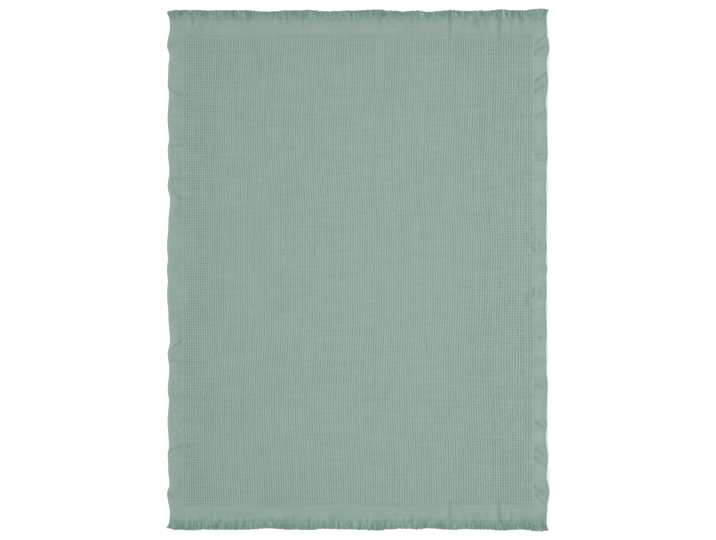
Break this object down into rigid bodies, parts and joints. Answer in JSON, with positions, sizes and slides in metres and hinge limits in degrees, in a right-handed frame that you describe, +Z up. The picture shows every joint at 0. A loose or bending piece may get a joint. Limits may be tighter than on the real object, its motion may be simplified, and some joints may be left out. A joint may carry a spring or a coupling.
{
  "type": "throw blanket",
  "caption": "Waffle-weave cotton throw lying flat, with a plain-woven border, ruffled selvedges and a short cut fringe along both ends, for warmth on a bed or sofa.",
  "frame": {"origin": "on the surface the throw lies on, under the middle of the throw", "axes": "+Y along the throw from the foot fringe to the head fringe, +X from the left selvedge to the right one, +Z up"},
  "size_m": [1.3136, 1.7994, 0.0086],
  "materials": {
    "cotton_weave": "matt sage green cotton, waffle weave with a plain-woven border",
    "cotton_fringe": "matt sage green cotton yarn ends, a little deeper in tone"
  },
  "bodies": {
    "root": {"throw_cloth": "cotton_weave", "fringe_head": "cotton_fringe", "fringe_foot": "cotton_fringe"}
  },
  "joints": []
}
